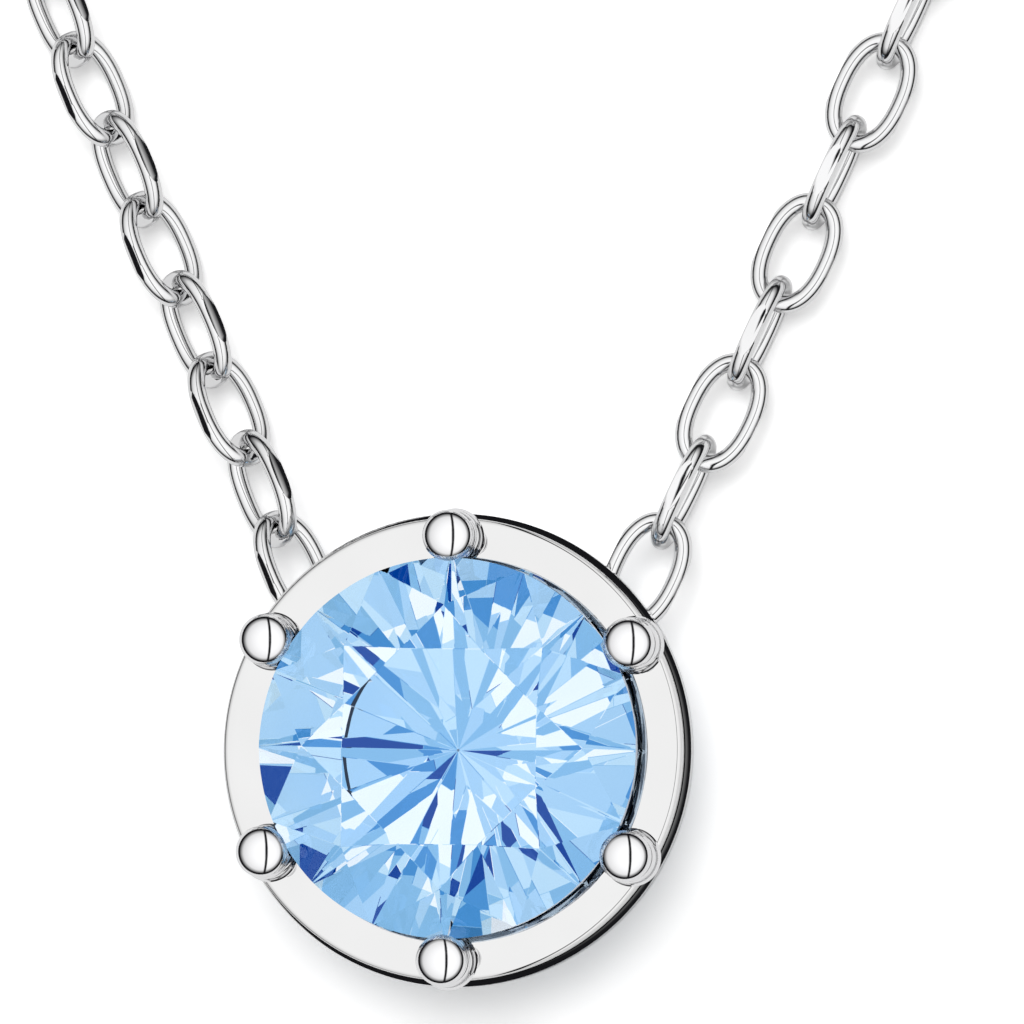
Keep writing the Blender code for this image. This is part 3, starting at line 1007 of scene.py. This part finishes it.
def view_axes():
    """The camera's right, up and backward directions."""
    back = Vector((math.tan(CAMERA_RIGHT), -math.tan(CAMERA_DOWN), 1)).normalized()
    up_hint = Vector((-math.sin(CAMERA_ROLL), math.cos(CAMERA_ROLL), 0))
    right = up_hint.cross(back).normalized()
    return right, back.cross(right), back


def camera():
    right, up, back = view_axes()
    target = Vector((0, 0, PLATE_Z[1])) + right * VIEW_OFFSET[0] + up * VIEW_OFFSET[1]
    data = bpy.data.cameras.new("camera")
    data.lens = data.sensor_width * CAMERA_DISTANCE / VIEW_WIDTH
    data.clip_start, data.clip_end = CLIP_M
    made = bpy.data.objects.new("camera", data)
    turn = Matrix((right, up, back)).transposed().to_4x4()
    made.matrix_world = Matrix.Translation(place(target + back * CAMERA_DISTANCE)) @ turn
    bpy.context.scene.collection.objects.link(made)
    bpy.context.scene.camera = made


def overhead():
    """Soft light for the floor alone, from above and a little from the chain's end."""
    data = bpy.data.lights.new("overhead", "SUN")
    data.energy = OVERHEAD
    data.angle = OVERHEAD_SPREAD
    made = bpy.data.objects.new("overhead", data)
    made.rotation_euler = (-OVERHEAD_TILT, 0, 0)
    made.visible_glossy = False
    made.visible_transmission = False
    bpy.context.scene.collection.objects.link(made)


def floor():
    bm = bmesh.new()
    bmesh.ops.create_grid(bm, x_segments=8, y_segments=8, size=FLOOR_HALF_M)
    mesh = bpy.data.meshes.new("studio_floor")
    bm.to_mesh(mesh)
    bm.free()
    mesh.materials.append(paper("studio_paper"))
    made = bpy.data.objects.new("studio_floor", mesh)
    bpy.context.scene.collection.objects.link(made)


def dot(nodes, vector, way):
    made = nodes.add("ShaderNodeVectorMath", operation="DOT_PRODUCT")
    nodes.link(vector, made.inputs[0])
    made.inputs[1].default_value = way
    return made.outputs["Value"]


def product(nodes, first, second):
    made = nodes.add("ShaderNodeMath", operation="MULTIPLY")
    nodes.link(first, made.inputs[0])
    nodes.link(second, made.inputs[1])
    return made.outputs["Value"]


def cards(nodes, way):
    """Blue, white and dark cards hung all round, which only the stone shows."""
    cells = nodes.add("ShaderNodeTexVoronoi")
    cells.inputs["Scale"].default_value = CARDS_SCALE
    nodes.link(way, cells.inputs["Vector"])
    parts = nodes.add("ShaderNodeSeparateColor")
    nodes.link(cells.outputs["Color"], parts.inputs["Color"])
    shares = nodes.add("ShaderNodeValToRGB")
    shares.color_ramp.interpolation = "CONSTANT"
    stops = shares.color_ramp.elements
    while len(stops) < len(CARDS):
        stops.new(0.5)
    for stop, (start, colour) in zip(stops, CARDS):
        stop.position = start
        stop.color = (*colour, 1.0)
    nodes.link(parts.outputs["Red"], shares.inputs["Fac"])
    return shares.outputs["Color"]


def chosen(nodes, kind, usual, other):
    """The other colour for one kind of ray, and the usual one for the rest."""
    made = nodes.add("ShaderNodeMix", data_type="RGBA")
    nodes.link(kind, made.inputs["Factor"])
    nodes.link(usual, made.inputs["A"])
    nodes.link(other, made.inputs["B"])
    return made.outputs["Result"]


def surroundings():
    """A white tent over the table: brightest round the camera, with a dark rim and a narrow dark gap.

    The metal shows it as it is. It lights the floor less, the stone shows the cards instead, and straight
    to the camera it is a plain backdrop.
    """
    world = bpy.data.worlds.new("studio_tent")
    bpy.context.scene.world = world
    world.use_nodes = True
    nodes = Nodes(world.node_tree)
    background = world.node_tree.nodes["Background"]
    right, up, back = view_axes()
    way = nodes.add("ShaderNodeTexCoord").outputs["Generated"]
    cloth = ranged(nodes, dot(nodes, way, back), *CLOTH, *CLOTH_FROM)
    rim = ranged(nodes, dot(nodes, way, UP), 0.0, 1.0, *TENT_RIM)
    across = nodes.add("ShaderNodeMath", operation="ABSOLUTE")
    nodes.link(dot(nodes, way, right), across.inputs[0])
    gap = ranged(nodes, across.outputs["Value"], 0.0, 1.0, *TENT_GAP)
    light = product(nodes, product(nodes, cloth, rim), gap)
    seen = blended(nodes, light, TENT_DARK, grey(TENT_WHITE))
    backdrop = blended(nodes, rim, grey(BACKDROP[0]), grey(BACKDROP[1]))
    dimmed = blended(nodes, light, grey(0.0), grey(TENT_WHITE * FLOOR_SHARE))
    rays = nodes.add("ShaderNodeLightPath").outputs
    on_floor = chosen(nodes, rays["Is Diffuse Ray"], seen, dimmed)
    in_stone = chosen(nodes, rays["Is Transmission Ray"], on_floor, cards(nodes, way))
    everything = chosen(nodes, rays["Is Camera Ray"], in_stone, backdrop)
    nodes.link(everything, background.inputs["Color"])


def studio():
    camera()
    surroundings()
    overhead()
    floor()
    bpy.context.scene.view_settings.view_transform = "Standard"


def necklace():
    stone_piece()
    setting_pieces()
    for side in SIDES:
        link_pieces(side)
    strand_piece("left", clasp_pieces("left"))
    strand_piece("right", [end_ring_piece("right")])


studio()
necklace()
